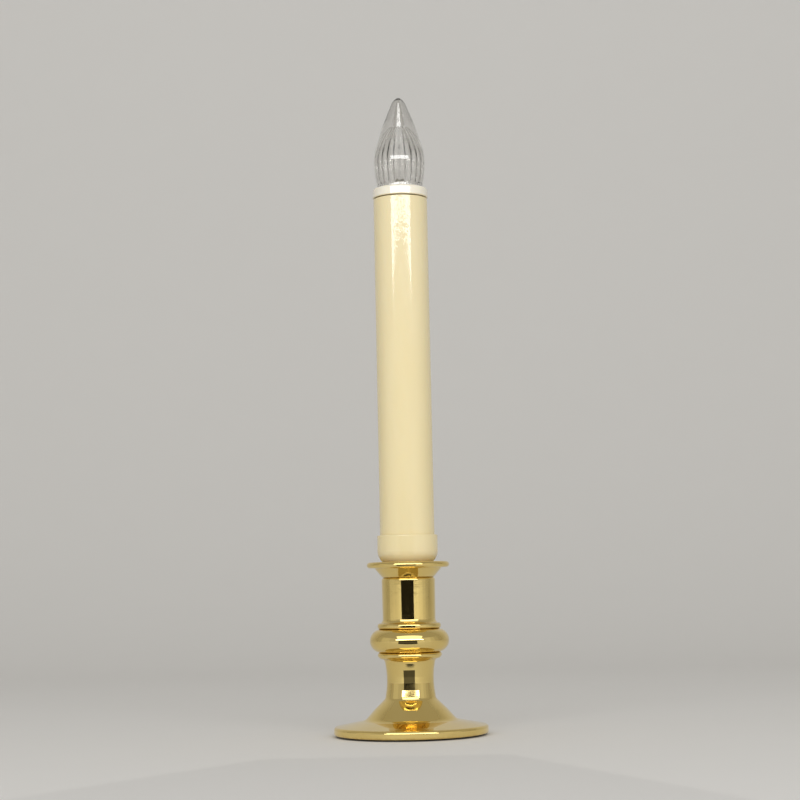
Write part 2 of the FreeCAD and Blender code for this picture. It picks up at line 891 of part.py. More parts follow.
def return_wire():
    """Straight wire inside the skirt, from the slip ring up to the board."""
    turn = math.radians(wire_angle)
    wire = cylinder("return_wire", wire_radius, board_level - skirt_level,
                    (wire_place * math.cos(turn), wire_place * math.sin(turn), skirt_level))
    PIECES.append(wire)


# ---------------------------------------------------------------- lamp and lens

def lamp_board():
    """Round board on the skirt's ledge, with the lamp and its driver."""
    disc("circuit_board", board_radius, board_level, board_thick)
    disc("board_contact", Size.of(2.6), board_underside, contact_thick)

    chip_length = 3.0
    chip_width = 4.4
    chip_place = -6.0
    chip = doc.addObject("Part::Box", "driver_chip")
    chip.Label = "driver_chip"
    chip.Length = chip_length
    chip.Width = chip_width
    chip.Height = 1.4
    chip.Placement.Base = FreeCAD.Vector(chip_place, -chip_width / 2, 0)
    chip.setExpression("Placement.Base.z", board_face.text)
    PIECES.append(chip)

    body_radius = 0.8
    body_length = 4.2
    resistor = cylinder("resistor", body_radius, body_length,
                        (-body_length / 2, 4.6, board_face + body_radius),
                        FreeCAD.Rotation(FreeCAD.Vector(0, 1, 0), 90))
    PIECES.append(resistor)

    pitch = 2.54
    leads = [cylinder(f"led_lead_{side}", 0.25, lamp_level - board_face,
                      (sign * pitch / 2, 0.0, board_face))
             for side, sign in (("plus", 1), ("minus", -1))]
    group("led_leads", leads)

    case = 2.5
    flange = 2.9
    flange_height = 1.0
    case_height = 6.1
    turned("led_lamp", [
        (ZERO, ZERO),
        (flange, ZERO),
        (flange, Size.of(flange_height)),
        (case, Size.of(flange_height)),
        (case, Size.of(case_height), Bend(case, +1)),
        (ZERO, Size.of(case_height + case)),
    ], lamp_level)


def bulb_lens():
    """Clear flame-shaped envelope, hollow nearly to its tip."""
    swell = Size.of(12.0)
    inner_foot = lens_foot_radius - lens_wall
    throat = 26.3
    tip_reach = 1.5
    tip_rise = 0.75
    turned("bulb_lens", [
        (inner_foot, ZERO),
        (lens_foot_radius, ZERO),
        (lens_foot_radius, Size.of(2.9), Bend(40.0, +1)),
        (lens_radius, swell, Bend(22.0, +1)),
        (lens_radius - 1.1, swell + 7.6, Bend(120.0, +1)),
        (3.0, lens_height - 2.8, Bend(4.5, +1)),
        (tip_reach, lens_height - tip_rise, Bend(dome_radius(tip_reach, tip_rise), +1)),
        (ZERO, lens_height),
        (ZERO, lens_height - 1.5),
        (0.6, lens_height - 2.8),
        (2.4, Size.of(throat), Bend(52.0, -1)),
        (lens_radius - lens_wall - 0.85, swell + 4.44, Bend(12.0, -1)),
        (lens_radius - lens_wall, swell, Bend(40.0, -1)),
        (inner_foot, Size.of(3.2)),
    ], lens_level)


# ---------------------------------------------------------------- build, check, write

for make in (base_pad, base_weight, foot_shell, lower_step_ring, knop, upper_step_ring,
             column_sleeve, drip_pan, tie_rod, tie_rod_fasteners, candle_socket,
             battery_carrier, cell_contacts, candle_tube, bulb_holder, return_finger,
             contact_plunger, feed_spring, twist_collar, snap_ring, cam_ring, slip_ring,
             return_wire, lamp_board, bulb_lens):
    make()
doc.recompute()

for item in doc.Objects:
    if "Invalid" in item.State or "Error" in item.State:
        raise RuntimeError(f"{item.Name} failed: {item.State}")
for piece in PIECES:
    if piece.Shape.isNull() or not piece.Shape.isValid() or not piece.Shape.Solids:
        raise RuntimeError(f"{piece.Label} has no valid shape")

os.makedirs("parts", exist_ok=True)
for piece in PIECES:
    piece.Shape.exportStep(f"parts/{piece.Label}.step")
    print(f"{piece.Label}: {piece.Shape.Volume:.1f} mm3, {len(piece.Shape.Solids)} solid(s)")
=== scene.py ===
import math

import bmesh
import bpy
from mathutils import Matrix, Vector


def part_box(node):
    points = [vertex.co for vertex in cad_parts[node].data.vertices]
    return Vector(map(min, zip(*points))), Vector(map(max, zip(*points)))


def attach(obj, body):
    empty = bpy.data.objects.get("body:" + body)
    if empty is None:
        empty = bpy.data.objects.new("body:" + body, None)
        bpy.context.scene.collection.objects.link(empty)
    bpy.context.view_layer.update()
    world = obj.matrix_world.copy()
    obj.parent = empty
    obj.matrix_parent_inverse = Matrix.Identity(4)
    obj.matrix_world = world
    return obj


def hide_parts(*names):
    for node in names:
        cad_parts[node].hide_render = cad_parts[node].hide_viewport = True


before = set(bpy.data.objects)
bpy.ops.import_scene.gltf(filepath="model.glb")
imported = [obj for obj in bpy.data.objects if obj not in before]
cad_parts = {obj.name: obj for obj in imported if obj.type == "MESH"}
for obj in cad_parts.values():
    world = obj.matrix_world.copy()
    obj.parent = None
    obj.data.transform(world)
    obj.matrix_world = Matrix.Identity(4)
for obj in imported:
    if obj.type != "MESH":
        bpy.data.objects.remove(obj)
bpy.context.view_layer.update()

# The looks of a battery window candle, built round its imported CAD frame.
# Lengths are in millimetres until a mesh is made, and heights start at the sill.

MM = 0.001
TINY = 1e-6
SEGMENTS = 160
FINE_SEGMENTS = 192
SHARP = math.radians(32)    # a crease sharper than this stays an edge
LEDGE = 0.12                # where smooth shading turns, at each end of a flat run
ROD_BORE = 2.7              # the hole that the tie rod passes through
BRASS_WALL = 1.0            # thickness of the spun and drawn shells


# ---------------------------------------------------------------- sizes from the frame

class Span:
    """The box of a CAD node in millimetres: its reach from the axis and its levels."""

    def __init__(self, node):
        low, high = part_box(node)
        self.low = low / MM
        self.high = high / MM
        self.radius = self.high.x
        self.bottom = self.low.z
        self.top = self.high.z
        self.height = self.top - self.bottom


# ---------------------------------------------------------------- outlines

class Arc:
    """The edge that leaves a corner is an arc; side +1 bulges to the right of travel."""

    def __init__(self, radius, side):
        self.radius = radius
        self.side = side


class Soft:
    """A corner between two straight edges, rounded to this radius."""

    def __init__(self, radius):
        self.radius = radius


def turn_points(centre, start, end, step=math.radians(5)):
    """Points round centre from start to end the short way, without start, with end."""
    first = start - centre
    last = end - centre
    sweep = math.atan2(first.x * last.y - first.y * last.x, first.dot(last))
    count = max(2, math.ceil(abs(sweep) / step))
    points = []
    for k in range(1, count + 1):
        angle = sweep * k / count
        turned = Vector((first.x * math.cos(angle) - first.y * math.sin(angle),
                         first.x * math.sin(angle) + first.y * math.cos(angle)))
        points.append(centre + turned)
    return points


def arc_points(start, end, arc):
    """Points along the arc from start to end, without start, with end."""
    chord = end - start
    half = chord.length / 2
    depth = math.sqrt(max(arc.radius ** 2 - half ** 2, 0.0))
    right = Vector((chord.y, -chord.x)).normalized() * arc.side
    centre = (start + end) / 2 - right * depth
    if depth < TINY:
        crown = (start + end) / 2 + right * arc.radius
        return turn_points(centre, start, crown) + turn_points(centre, crown, end)
    return turn_points(centre, start, end)


def soft_points(before, corner, after, radius):
    """Points round a softened corner, from its first tangent point to its last."""
    back = (before - corner).normalized()
    ahead = (after - corner).normalized()
    half = math.acos(max(-1.0, min(1.0, back.dot(ahead)))) / 2
    trim = radius / math.tan(half)
    centre = corner + (back + ahead).normalized() * (radius / math.sin(half))
    start = corner + back * trim
    return [start] + turn_points(centre, start, corner + ahead * trim, math.radians(15))


def flat_runs(points):
    """The same closed line with a point just inside each end of a long straight run.

    Smooth shading then turns only in the last LEDGE of a flat stretch, not all along it.
    """
    line = []
    for before, after in zip(points, points[1:] + points[:1]):
        line.append(before)
        run = after - before
        if run.length > 4 * LEDGE:
            step = run.normalized() * LEDGE
            line += [before + step, after - step]
    return line


def outline(corners):
    """(radius, height) points of a closed outline with its arcs and soft corners drawn in."""
    places = [Vector(c[:2]) for c in corners]
    points = []
    for k, corner in enumerate(corners):
        before = places[k - 1]
        after = places[(k + 1) % len(places)]
        kind = corner[2] if len(corner) > 2 else None
        if isinstance(kind, Soft):
            points += soft_points(before, places[k], after, kind.radius)
            continue
        if not points or (points[-1] - places[k]).length > TINY:
            points.append(places[k])
        if isinstance(kind, Arc):
            points += arc_points(places[k], after, kind)
    if (points[0] - points[-1]).length < TINY:
        points.pop()
    return points


# ---------------------------------------------------------------- meshes

def finish_mesh(name, mesh, material):
    """The mesh as a smooth-shaded object in the scene, with this material."""
    mesh.validate()
    mesh.shade_smooth()
    mesh.set_sharp_from_angle(angle=SHARP)
    mesh.materials.append(material)
    piece = bpy.data.objects.new(name, mesh)
    bpy.context.scene.collection.objects.link(piece)
    return piece


def lathe(name, corners, level, material, segments=SEGMENTS, shape=None):
    """A closed outline turned about the axis; shape(radius, height, angle) may move a point."""
    mesh = bpy.data.meshes.new(name)
    bm = bmesh.new()
    rings = []
    for point in flat_runs(outline(corners)):
        if point.x < TINY:
            rings.append([bm.verts.new((0, 0, (point.y + level) * MM))])
            continue
        ring = []
        for k in range(segments):
            angle = 2 * math.pi * k / segments
            radius = shape(point.x, point.y, angle) if shape else point.x
            ring.append(bm.verts.new((radius * math.cos(angle) * MM,
                                      radius * math.sin(angle) * MM,
                                      (point.y + level) * MM)))
        rings.append(ring)
    for one, two in zip(rings, rings[1:] + rings[:1]):
        if len(one) == 1 and len(two) == 1:
            continue
        for k in range(segments):
            after = (k + 1) % segments
            corners_of_face = [one[k % len(one)], two[k % len(two)],
                               two[after % len(two)], one[after % len(one)]]
            bm.faces.new(list(dict.fromkeys(corners_of_face)))
    bmesh.ops.recalc_face_normals(bm, faces=bm.faces)
    bm.to_mesh(mesh)
    bm.free()
    return finish_mesh(name, mesh, material)


def place(piece, body, slot, node):
    """Rides the piece on its body and hides the CAD node it stands for; slot is not used."""
    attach(piece, body)
    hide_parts(node)
    return piece


# ---------------------------------------------------------------- materials

class Recipe:
    """A material under construction; its textures read the part's own frame in millimetres."""

    def __init__(self, name, **uniform):
        self.material = bpy.data.materials.new(name)
        self.material.use_nodes = True
        self.tree = self.material.node_tree
        self.shader = self.tree.nodes["Principled BSDF"]
        for socket, value in uniform.items():
            self.shader.inputs[socket.replace("_", " ")].default_value = value
        places = self.tree.nodes.new("ShaderNodeTexCoord")
        self.mm = self.vector("MULTIPLY", places.outputs["Object"], (1 / MM,) * 3)
        self.axes = None

    def link(self, source, socket):
        self.tree.links.new(source, socket)

    def feed(self, socket, value):
        if isinstance(value, bpy.types.NodeSocket):
            self.link(value, socket)
        else:
            socket.default_value = value

    def vector(self, operation, first, second):
        """A vector sum or product of two sockets or values."""
        node = self.tree.nodes.new("ShaderNodeVectorMath")
        node.operation = operation
        self.feed(node.inputs[0], first)
        self.feed(node.inputs[1], second)
        return node.outputs["Vector"]

    def math(self, operation, first, second=0.0):
        """An operation on two sockets or numbers, by its node's own name."""
        node = self.tree.nodes.new("ShaderNodeMath")
        node.operation = operation
        self.feed(node.inputs[0], first)
        self.feed(node.inputs[1], second)
        return node.outputs["Value"]

    def axis(self, letter):
        if self.axes is None:
            node = self.tree.nodes.new("ShaderNodeSeparateXYZ")
            self.link(self.mm, node.inputs[0])
            self.axes = node.outputs
        return self.axes[letter]

    def radius(self):
        """Distance from the part's axis."""
        squares = self.math("ADD", self.math("POWER", self.axis("X"), 2.0),
                            self.math("POWER", self.axis("Y"), 2.0))
        return self.math("SQRT", squares)

    def noise(self, size, detail=3.0, stretch=(1, 1, 1), distortion=0.0):
        """Noise whose lumps are about this many millimetres across, stretched by axis."""
        node = self.tree.nodes.new("ShaderNodeTexNoise")
        node.inputs["Scale"].default_value = 1.0 / size
        node.inputs["Detail"].default_value = detail
        node.inputs["Distortion"].default_value = distortion
        self.link(self.vector("DIVIDE", self.mm, stretch), node.inputs["Vector"])
        return node.outputs["Fac"]

    def cells(self, size):
        """Distance to the middle of rounded cells about this many millimetres across."""
        node = self.tree.nodes.new("ShaderNodeTexVoronoi")
        node.inputs["Scale"].default_value = 1.0 / size
        self.link(self.mm, node.inputs["Vector"])
        return node.outputs["Distance"]

    def between(self, value, low, high, out_low=0.0, out_high=1.0):
        """Maps low..high smoothly to out_low..out_high, held at both ends."""
        node = self.tree.nodes.new("ShaderNodeMapRange")
        node.interpolation_type = "SMOOTHSTEP"
        self.link(value, node.inputs["Value"])
        for socket, number in (("From Min", low), ("From Max", high),
                               ("To Min", out_low), ("To Max", out_high)):
            node.inputs[socket].default_value = number
        return node.outputs["Result"]

    def mix(self, share, first, second):
        node = self.tree.nodes.new("ShaderNodeMix")
        node.data_type = "RGBA"
        self.feed(node.inputs["Factor"], share)
        for socket, value in ((node.inputs[6], first), (node.inputs[7], second)):
            self.feed(socket, value if isinstance(value, bpy.types.NodeSocket) else (*value, 1.0))
        return node.outputs[2]

    def color(self, value):
        self.feed(self.shader.inputs["Base Color"],
                  value if isinstance(value, bpy.types.NodeSocket) else (*value, 1.0))

    def rough(self, value):
        self.feed(self.shader.inputs["Roughness"], value)

    def bump(self, *layers):
        """Each layer is a height field and how many millimetres it stands between 0 and 1."""
        normal = None
        for field, height in layers:
            node = self.tree.nodes.new("ShaderNodeBump")
            node.inputs["Distance"].default_value = height * MM
            self.link(field, node.inputs["Height"])
            if normal is not None:
                self.link(normal, node.inputs["Normal"])
            normal = node.outputs["Normal"]
        self.link(normal, self.shader.inputs["Normal"])


def plated_brass():
    """Polished brass plating: faint lathe lines, smears, and tarnish where pieces meet."""
    make = Recipe("polished_brass", Metallic=1.0)
    cast = make.between(make.noise(14.0, 2.0), 0.3, 0.7)
    body = make.mix(cast, (0.90, 0.70, 0.27), (0.87, 0.66, 0.24))
    tarnish = 0.0
    for seam in ("lower_step_ring", "knop", "upper_step_ring", "column_sleeve", "drip_pan"):
        away = make.math("ABSOLUTE", make.math("SUBTRACT", make.axis("Z"), Span(seam).bottom))
        tarnish = make.math("MAXIMUM", make.between(away, 0.0, 0.45, 1.0, 0.0), tarnish)
    rim = make.between(make.axis("Z"), 0.4, 1.8, 1.0, 0.0)
    tarnish = make.math("MAXIMUM", tarnish, rim)
    patchy = make.math("MULTIPLY", tarnish, make.between(make.noise(1.6), 0.35, 0.65, 0.1, 0.6))
    make.color(make.mix(patchy, body, (0.56, 0.37, 0.12)))
    smear = make.between(make.noise(6.0, 5.0, (1, 1, 2), 0.6), 0.5, 0.72)
    polished = make.math("ADD", make.math("MULTIPLY", smear, 0.06), 0.045)
    make.rough(make.math("ADD", polished, make.math("MULTIPLY", patchy, 0.25)))
    lines = make.noise(0.22, 2.0, (60, 60, 1))
    dimples = make.noise(3.2, 1.0)
    make.bump((lines, 0.0016), (dimples, 0.012))
    return make.material


def ivory_plastic():
    """Glossy moulded ivory: faintly cloudy, with orange peel towards the sleeve's top."""
    make = Recipe("ivory_plastic", IOR=1.6, Subsurface_Weight=0.12, Subsurface_Scale=0.0012,
                  Subsurface_Radius=(1.0, 0.75, 0.45))
    cloud = make.between(make.noise(11.0, 3.0, (1, 1, 4)), 0.3, 0.7)
    # Painted light: the colour runs slightly paler towards the sleeve's top, standing in for the
    # light falling there.
    height = make.between(make.axis("Z"), Span("candle_tube").bottom, Span("candle_tube").top)
    body = make.mix(height, (0.860, 0.740, 0.445), (0.870, 0.758, 0.480))
    body = make.mix(make.math("MULTIPLY", cloud, 0.3), body, (0.83, 0.70, 0.38))
    speck = make.between(make.noise(0.5, 2.0), 0.74, 0.80)
    make.color(make.mix(make.math("MULTIPLY", speck, 0.2), body, (0.60, 0.47, 0.24)))
    make.rough(make.between(make.noise(2.4, 4.0), 0.3, 0.75, 0.05, 0.10))
    top = Span("candle_tube").top
    peel = make.math("MULTIPLY", make.noise(1.7, 2.0),
                     make.between(make.axis("Z"), top - 30.0, top - 8.0, 0.05, 1.0))
    make.bump((peel, 0.05), (make.noise(9.0, 1.0, (1, 1, 5)), 0.012))
    return make.material


def collar_plastic():
    """The collar's ivory, painted paler than the sleeve's as a painted highlight, with painted
    shade along its lower edge where it sits on the sleeve.
    """
    make = Recipe("collar_plastic", IOR=1.52, Subsurface_Weight=0.15, Subsurface_Scale=0.0012,
                  Subsurface_Radius=(1.0, 0.8, 0.5), Coat_Weight=1.0, Coat_Roughness=0.04)
    foot = Span("candle_tube").top
    # Painted shade: the lowest 1.2 mm turn darker, where the collar meets the sleeve's top.
    edge = make.between(make.axis("Z"), foot, foot + 1.2, 1.0, 0.0)
    cloud = make.math("MULTIPLY", make.noise(3.0, 3.0), 0.4)
    # Painted highlight: both colours are paler than the sleeve's ivory, standing in for the
    # collar's bright highlight.
    body = make.mix(cloud, (0.94, 0.89, 0.76), (0.92, 0.86, 0.70))
    make.color(make.mix(edge, body, (0.82, 0.68, 0.38)))
    make.rough(make.between(make.noise(1.8, 3.0), 0.3, 0.7, 0.12, 0.2))
    make.bump((make.noise(1.4, 2.0), 0.012))
    return make.material


def clear_lens(name, low, high):
    """Clear moulded acrylic with flow marks, and haze between these two roughnesses."""
    make = Recipe(name, IOR=1.49, Transmission_Weight=1.0, Coat_Weight=1.0, Coat_Roughness=0.02)
    flow = make.math("MULTIPLY", make.noise(6.0, 2.0), 0.5)
    # Painted shade: both tints are greyed, so the lens darkens what shows through it, standing in
    # for dark surroundings seen through the lens.
    make.color(make.mix(flow, (0.90, 0.895, 0.88), (0.86, 0.85, 0.83)))
    make.rough(make.between(make.noise(2.5, 4.0), 0.4, 0.75, low, high))
    make.bump((make.noise(3.5, 2.0, (1, 1, 2.5)), 0.012))
    return make.material


def foam():
    """Charcoal closed-cell foam: open pores, pale dust on the high spots."""
    make = Recipe("foam", Sheen_Weight=0.3, Sheen_Roughness=0.6)
    pores = make.cells(0.55)
    dust = make.between(make.noise(4.0, 4.0), 0.45, 0.75)
    # Painted shade: the colour darkens towards each pore's middle, where the pore is deepest.
    body = make.mix(make.between(pores, 0.15, 0.6), (0.022, 0.022, 0.024), (0.06, 0.06, 0.063))
    make.color(make.mix(make.math("MULTIPLY", dust, 0.25), body, (0.16, 0.15, 0.14)))
    make.rough(make.between(make.noise(1.0), 0.3, 0.7, 0.82, 0.96))
    make.bump((pores, 0.12), (make.noise(0.3, 3.0), 0.05))
    return make.material


def cast_iron():
    """Bare grey iron, pitted, with some rust."""
    make = Recipe("rough_casting", Metallic=0.6)
    rust = make.between(make.noise(2.6, 5.0), 0.55, 0.72)
    make.color(make.mix(make.math("MULTIPLY", rust, 0.6), (0.14, 0.135, 0.13), (0.20, 0.09, 0.035)))
    make.rough(make.between(make.noise(1.2, 4.0), 0.3, 0.7, 0.6, 0.85))
    make.bump((make.noise(0.9, 4.0), 0.16), (make.noise(5.0, 2.0), 0.2))
    return make.material


def metal(name, light, dark, low, high, grain, stretch=(1, 1, 1)):
    """A plain metal with a stained colour, uneven gloss and a fine drawn grain."""
    make = Recipe(name, Metallic=1.0)
    stain = make.between(make.noise(3.0, 4.0), 0.4, 0.75)
    make.color(make.mix(stain, light, dark))
    make.rough(make.between(make.noise(1.1, 4.0, stretch), 0.3, 0.75, low, high))
    make.bump((make.noise(0.16, 2.0, stretch), grain), (make.noise(1.5, 2.0), 0.01))
    return make.material


def moulded(name, light, dark, low, high, grain=0.02):
    """A moulded plastic with a fine spark-eroded grain and slightly cloudy colour."""
    make = Recipe(name, IOR=1.5)
    make.color(make.mix(make.between(make.noise(5.0, 4.0), 0.3, 0.75), light, dark))
    make.rough(make.between(make.noise(0.9, 4.0), 0.3, 0.7, low, high))
    make.bump((make.noise(0.28, 3.0), grain), (make.noise(3.0, 2.0), 0.03))
    return make.material


def cell_jacket():
    """Cell: a shrink jacket with a pale band at the positive end, and bare steel ends."""
    make = Recipe("cell_jacket", Coat_Weight=0.35, Coat_Roughness=0.08)
    blur = 0.1
    bare_foot = 0.85
    bare_head = 2.15
    band_foot = 11.0
    rolled_edge = 1.0
    jacket = 0.0
    band = 0.0
    for name in ("lower_cell", "upper_cell"):
        cell = Span(name)
        low = cell.bottom + bare_foot
        high = cell.top - bare_head
        split = cell.top - band_foot
        above = make.between(make.axis("Z"), low, low + blur)
        below = make.between(make.axis("Z"), high, high + blur, 1.0, 0.0)
        sleeve = make.math("MULTIPLY", above, below)
        stripe = make.math("MULTIPLY", make.between(make.axis("Z"), split, split + blur), sleeve)
        jacket = make.math("MAXIMUM", sleeve, jacket)
        band = make.math("MAXIMUM", stripe, band)
    edge = cell.radius - rolled_edge
    outside = make.between(make.radius(), edge, edge + blur)
    jacket = make.math("MULTIPLY", jacket, outside)
    scuff = make.between(make.noise(1.4, 5.0, (1, 1, 6)), 0.62, 0.74)
    paint = make.mix(band, (0.018, 0.075, 0.16), (0.72, 0.70, 0.64))
    paint = make.mix(make.math("MULTIPLY", scuff, 0.45), paint, (0.45, 0.46, 0.47))
    steel = make.mix(make.noise(2.2, 4.0), (0.66, 0.65, 0.62), (0.48, 0.47, 0.45))
    make.color(make.mix(jacket, steel, paint))
    make.feed(make.shader.inputs["Metallic"], make.math("SUBTRACT", 1.0, jacket))
    make.rough(make.between(make.noise(1.6, 4.0), 0.3, 0.75, 0.22, 0.42))
    lap_place = 5.6
    from_lap = make.math("ABSOLUTE", make.math("SUBTRACT", make.axis("X"), lap_place))
    lap = make.between(from_lap, 0.0, 0.25)
    make.bump((jacket, 0.05), (lap, 0.03), (make.noise(2.0, 2.0), 0.015))
    return make.material


def circuit_board():
    """Green lacquered board with copper round the lamp's leads and a ring at its edge."""
    make = Recipe("circuit_board", Coat_Weight=0.4, Coat_Roughness=0.15)
    lead_place = 1.27
    edge_ring = 6.7
    leads = 0.0
    for side in (-lead_place, lead_place):
        across = make.math("POWER", make.math("SUBTRACT", make.axis("X"), side), 2.0)
        square = make.math("ADD", across, make.math("POWER", make.axis("Y"), 2.0))
        leads = make.math("MAXIMUM", make.between(square, 0.45, 0.6, 1.0, 0.0), leads)
    edge = make.between(make.radius(), edge_ring, edge_ring + 0.1)
    weave = make.noise(0.35, 2.0, (3, 1, 1))
    lacquer = make.mix(make.between(weave, 0.3, 0.7), (0.018, 0.14, 0.05), (0.03, 0.19, 0.075))
    copper = make.math("MAXIMUM", leads, edge)
    make.color(make.mix(copper, lacquer, (0.72, 0.66, 0.55)))
    make.feed(make.shader.inputs["Metallic"], copper)
    make.rough(make.between(make.noise(1.0, 3.0), 0.3, 0.7, 0.25, 0.45))
    make.bump((copper, 0.03), (weave, 0.01))
    return make.material


def resistor_lacquer():
    """Tan lacquer with four colour bands along X."""
    make = Recipe("resistor_lacquer", Coat_Weight=0.5, Coat_Roughness=0.1)
    body = make.mix(make.between(make.noise(0.8), 0.3, 0.7), (0.56, 0.42, 0.25), (0.50, 0.36, 0.20))
    bands = ((-1.4, (0.28, 0.05, 0.02)), (-0.7, (0.01, 0.01, 0.01)),
             (0.0, (0.20, 0.07, 0.02)), (1.3, (0.62, 0.42, 0.10)))
    for centre, paint in bands:
        away = make.math("ABSOLUTE", make.math("SUBTRACT", make.axis("X"), centre))
        body = make.mix(make.between(away, 0.18, 0.24, 1.0, 0.0), body, paint)
    make.color(body)
    make.rough(make.between(make.noise(0.6), 0.3, 0.7, 0.25, 0.4))
    make.bump((make.noise(0.5), 0.02))
    return make.material


def lamp_epoxy():
    """Milky epoxy of the lamp."""
    make = Recipe("lamp_epoxy", IOR=1.53, Transmission_Weight=0.35)
    cloud = make.math("MULTIPLY", make.noise(1.5), 0.6)
    make.color(make.mix(cloud, (0.93, 0.91, 0.84), (0.90, 0.85, 0.70)))
    make.rough(make.between(make.noise(0.8, 3.0), 0.4, 0.7, 0.03, 0.12))
    make.bump((make.noise(0.9, 2.0), 0.01))
    return make.material


def stage_paper():
    """Matt warm white paper, faintly uneven."""
    make = Recipe("stage_paper")
    uneven = make.math("MULTIPLY", make.noise(40.0, 2.0), 0.3)
    make.color(make.mix(uneven, (0.80, 0.795, 0.785), (0.77, 0.765, 0.755)))
    make.rough(0.75)
    return make.material


# ---------------------------------------------------------------- candlestick

def foot(brass):
    """Spun foot: rolled rim, shallow slope, domed flare and waisted stem."""
    size = Span("foot_shell")
    roll = 0.8
    shoulder = 1.2
    rim = 3.4
    slope = 5.3
    flare_radius = 19.9
    dome_radius = 17.55
    dome_foot = slope + 1.15
    neck_foot = slope + 8.2
    stem_foot = slope + 9.83
    stem = 10.0
    inner_stem = stem - 1.7
    top = size.height
    return lathe("foot_shell_look", [
        (size.radius - BRASS_WALL, 0),
        (size.radius - roll, 0, Arc(roll, +1)),
        (size.radius, roll),
        (size.radius, rim - shoulder, Arc(shoulder, +1)),
        (size.radius - shoulder, rim),
        (flare_radius, slope, Arc(4.0, -1)),
        (dome_radius, dome_foot, Arc(65.0, +1)),
        (stem + 0.72, neck_foot, Arc(2.2, -1)),
        (stem, stem_foot, Arc(35.0, -1)),
        (stem - 0.05, top - 1.7, Arc(2.5, -1)),
        (stem + 0.9, top),
        (ROD_BORE, top),
        (ROD_BORE, top - BRASS_WALL),
        (inner_stem, top - BRASS_WALL),
        (inner_stem, stem_foot - 0.58),
        (dome_radius - 0.65, dome_foot - 0.77),
        (flare_radius - 0.3, slope - 1.02),
        (size.radius - BRASS_WALL, rim - BRASS_WALL),
    ], size.bottom, brass, FINE_SEGMENTS)


def lower_ring(brass):
    """Turned ring under the knop, undercut towards the stem."""
    size = Span("lower_step_ring")
    undercut = 1.7
    brow = 1.5
    return lathe("lower_step_ring_look", [
        (ROD_BORE, 0),
        (size.radius - undercut, 0, Arc(2.0, +1)),
        (size.radius, brow, Arc(1.0, +1)),
        (size.radius - 0.7, size.height),
        (ROD_BORE, size.height),
    ], size.bottom, brass)


def knop(brass):
    """Hollow flattened ball."""
    size = Span("knop")
    half = size.height / 2
    crown = size.radius - half
    mouth = 7.0
    return lathe("knop_look", [
        (mouth, 0),
        (crown, 0, Arc(half, +1)),
        (crown, size.height),
        (mouth, size.height),
        (mouth, size.height - BRASS_WALL),
        (crown, size.height - BRASS_WALL, Arc(half - BRASS_WALL, -1)),
        (crown, BRASS_WALL),
        (mouth, BRASS_WALL),
    ], size.bottom, brass, FINE_SEGMENTS)


def upper_ring(brass):
    """Turned ring between the knop and the column."""
    size = Span("upper_step_ring")
    band_low = 0.8
    band_high = 1.3
    return lathe("upper_step_ring_look", [
        (ROD_BORE, 0),
        (size.radius - 0.6, 0, Arc(0.9, +1)),
        (size.radius, band_low),
        (size.radius, band_high, Arc(0.9, +1)),
        (size.radius - 0.8, size.height),
        (ROD_BORE, size.height),
    ], size.bottom, brass)


def column(brass):
    """Drawn cup, mouth down, with a small cove at its foot and a rounded shoulder."""
    size = Span("column_sleeve")
    shaft = size.radius - 1.0
    flare = 0.08
    cove = 1.5
    shoulder = 1.1
    top = size.height
    return lathe("column_look", [
        (shaft - BRASS_WALL, 0),
        (size.radius, 0, Arc(1.8, -1)),
        (shaft - flare, cove),
        (shaft + flare, top - shoulder, Arc(shoulder, +1)),
        (shaft - 1.0, top),
        (ROD_BORE, top),
        (ROD_BORE, top - BRASS_WALL),
        (shaft - BRASS_WALL, top - BRASS_WALL),
    ], size.bottom, brass, FINE_SEGMENTS)


def pan(brass):
    """Conical dish under a rolled lip."""
    size = Span("drip_pan")
    foot_radius = 10.3
    bead = 1.2
    lip = size.radius - bead
    under_lip = size.radius - 3.1
    slope = 3.7
    lip_low = slope + 0.1
    dish = 1.5
    return lathe("drip_pan_look", [
        (ROD_BORE, 0),
        (foot_radius, 0, Soft(0.15)),
        (under_lip, slope, Soft(0.15)),
        (lip, lip_low, Arc(bead, +1)),
        (lip, lip_low + bead * 2),
        (lip - 0.8, lip_low + 1.1, Soft(0.3)),
        (under_lip - 0.7, lip_low + 0.8, Soft(0.5)),
        (foot_radius + 0.2, dish, Soft(0.2)),
        (ROD_BORE, dish),
    ], size.bottom, brass, FINE_SEGMENTS)


def socket(ivory):
    """Ivory cup in the pan; the sleeve's foot slides into its mouth."""
    size = Span("candle_socket")
    foot_radius = 10.1
    top = size.height
    mouth = Span("candle_tube").radius + 0.08
    ledge = Span("candle_tube").bottom - 0.3 - size.bottom
    edge = 0.4
    foot_edge = 0.7
    swell_foot = 4.7
    swell_top = 8.9
    floor = 1.6
    well_radius = 8.7
    return lathe("candle_socket_look", [
        (ROD_BORE, 0),
        (foot_radius - foot_edge, 0, Arc(0.8, +1)),
        (foot_radius, foot_edge),
        (foot_radius, swell_foot, Arc(6.0, +1)),
        (size.radius, swell_top),
        (size.radius, top - edge, Arc(edge, +1)),
        (size.radius - edge, top),
        (mouth, top, Soft(0.12)),
        (mouth, ledge),
        (well_radius + 1.0, ledge),
        (well_radius + 0.1, swell_foot - 0.1),
        (well_radius, floor),
        (ROD_BORE, floor),
    ], size.bottom, ivory)


def base_pad(material):
    """Foam disc with a soft, slightly ragged edge and an uneven underside."""
    size = Span("base_pad")
    edge = 0.5
    room = 0.1
    dimple = 0.03
    ragged = 0.05

    def uneven(radius, height, angle):
        wave = math.sin(angle * 31 + radius) * math.sin(angle * 17 + height * 3)
        return radius + ragged * wave

    rings = [(radius, dimple if radius % 8 > 4 else 0.0) for radius in range(4, 26, 2)]
    return lathe("base_pad_look", [
        (0, dimple),
        *rings,
        (size.radius - edge - room, 0, Arc(edge, +1)),
        (size.radius - room, edge),
        (size.radius - room, size.height),
        (0, size.height),
    ], size.bottom, material, shape=uneven)


# ---------------------------------------------------------------- sleeve, collar, lens

